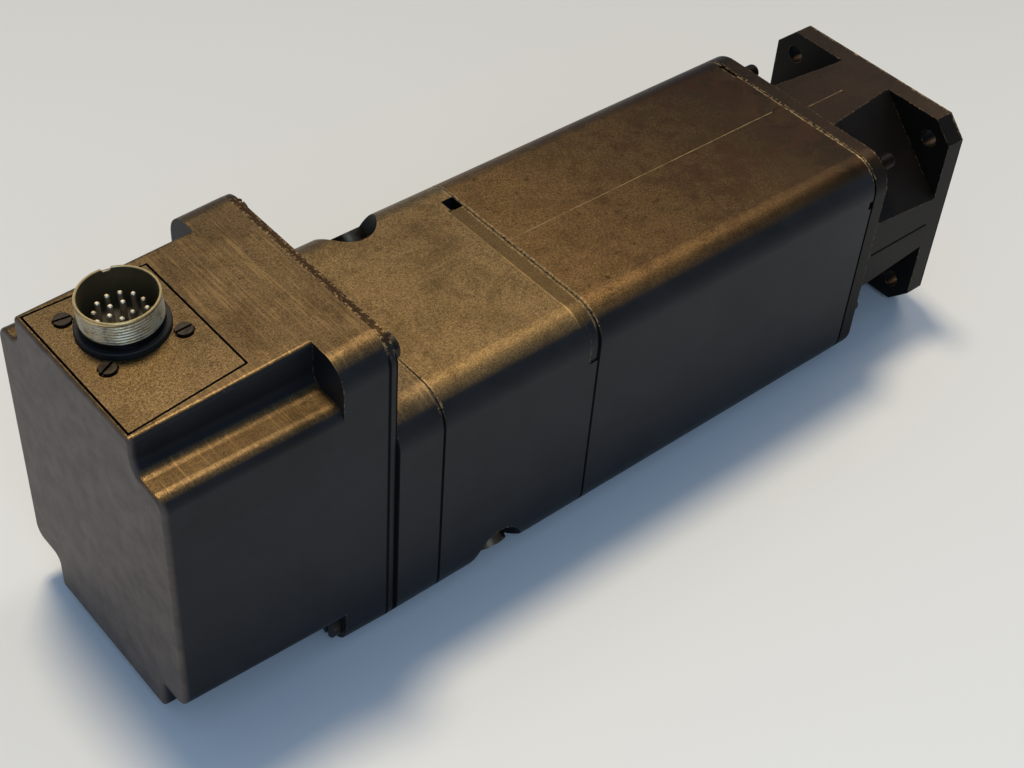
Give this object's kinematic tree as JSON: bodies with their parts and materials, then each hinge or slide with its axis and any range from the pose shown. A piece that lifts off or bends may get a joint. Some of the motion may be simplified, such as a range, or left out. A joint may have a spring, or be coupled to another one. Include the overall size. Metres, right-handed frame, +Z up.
{
  "type": "dc servo motor",
  "caption": "Square-bodied flange-mounted DC servo motor with a round shaft, a stepped rear cover and a round connector on top.",
  "frame": {"origin": "centre of the flange's mounting face, on the shaft's axis", "axes": "+X out along the shaft, +Y to the left seen from behind the motor, +Z up through the connector"},
  "size_m": [0.3848, 0.095, 0.1393],
  "materials": {
    "front_casting": "worn black paint over cast iron",
    "housing_paint": "worn black-brown paint",
    "cover_casting": "worn black-brown paint on a casting",
    "ferrite": "sintered ferrite",
    "holder_plastic": "phenolic plastic",
    "cap_steel": "turned",
    "carbon": "carbon brush",
    "spring_steel": "spring steel",
    "connector_metal": "dull plated brass",
    "insert_plastic": "moulded insulation",
    "pin_plating": "plated contact",
    "rubber": "black rubber",
    "screw_steel": "blackened steel",
    "bearing_steel": "ground bearing steel",
    "machined_steel": "machined",
    "lamination": "stacked sheets",
    "copper": "copper"
  },
  "bodies": {
    "stator": {"front_end_shield": "front_casting", "stator_housing": "housing_paint", "field_magnet_1": "ferrite", "field_magnet_2": "ferrite", "field_magnet_3": "ferrite", "field_magnet_4": "ferrite", "field_magnet_5": "ferrite", "field_magnet_6": "ferrite", "brush_housing": "housing_paint", "brush_holder_a": "holder_plastic", "brush_holder_b": "holder_plastic", "brush_cap_a": "cap_steel", "brush_cap_b": "cap_steel", "rear_end_shield": "housing_paint", "cover_rim_plate": "housing_paint", "rear_cover": "cover_casting", "connector_plate": "cover_casting", "connector_shell": "connector_metal", "connector_insert": "insert_plastic", "connector_pins": "pin_plating", "connector_base_ring": "rubber", "connector_screws": "screw_steel", "cover_screws": "screw_steel", "rear_shield_screws": "screw_steel", "rim_plate_screws": "screw_steel", "bearing_retainer": "machined_steel", "bearing_retainer_screws": "screw_steel", "tie_studs": "screw_steel", "tie_stud_washers": "screw_steel", "tie_stud_nuts": "screw_steel", "front_bearing_outer_ring": "bearing_steel", "rear_bearing_outer_ring": "bearing_steel", "preload_spring": "spring_steel", "shaft_seal": "rubber", "tacho_housing": "machined_steel", "tacho_magnet": "ferrite", "tacho_screws": "screw_steel"},
    "rotor": {"shaft": "machined_steel", "circlip": "spring_steel", "armature_core": "lamination", "armature_windings": "copper", "commutator": "copper", "commutator_hub": "holder_plastic", "front_bearing_inner_ring": "bearing_steel", "rear_bearing_inner_ring": "bearing_steel", "tacho_rotor": "lamination"},
    "front_ball_set": {"front_bearing_balls": "bearing_steel", "front_bearing_cage": "holder_plastic"},
    "rear_ball_set": {"rear_bearing_balls": "bearing_steel", "rear_bearing_cage": "holder_plastic"},
    "brush_a": {"brush_a": "carbon", "brush_spring_a": "spring_steel"},
    "brush_b": {"brush_b": "carbon", "brush_spring_b": "spring_steel"}
  },
  "joints": [
    {"name": "rotor_spin", "type": "hinge", "parent": "stator", "child": "rotor", "pos_m": [0, 0, 0], "axis": [1, 0, 0], "continuous": true},
    {"name": "front_ball_set_spin", "type": "hinge", "parent": "stator", "child": "front_ball_set", "pos_m": [-0.019, 0, 0], "axis": [1, 0, 0], "continuous": true},
    {"name": "rear_ball_set_spin", "type": "hinge", "parent": "stator", "child": "rear_ball_set", "pos_m": [-0.2635, 0, 0], "axis": [1, 0, 0], "continuous": true},
    {"name": "brush_a_slide", "type": "slide", "parent": "stator", "child": "brush_a", "axis": [0, 0.7071, 0.7071], "range_m": [0, 0.004], "stiffness_N_per_m": 250, "springref_m": -0.006},
    {"name": "brush_b_slide", "type": "slide", "parent": "stator", "child": "brush_b", "axis": [0, -0.7071, -0.7071], "range_m": [0, 0.004], "stiffness_N_per_m": 250, "springref_m": -0.006}
  ],
  "couplings": [
    {"joint": "front_ball_set_spin", "follows": "rotor_spin", "ratio": 0.3816},
    {"joint": "rear_ball_set_spin", "follows": "rotor_spin", "ratio": 0.3826}
  ]
}
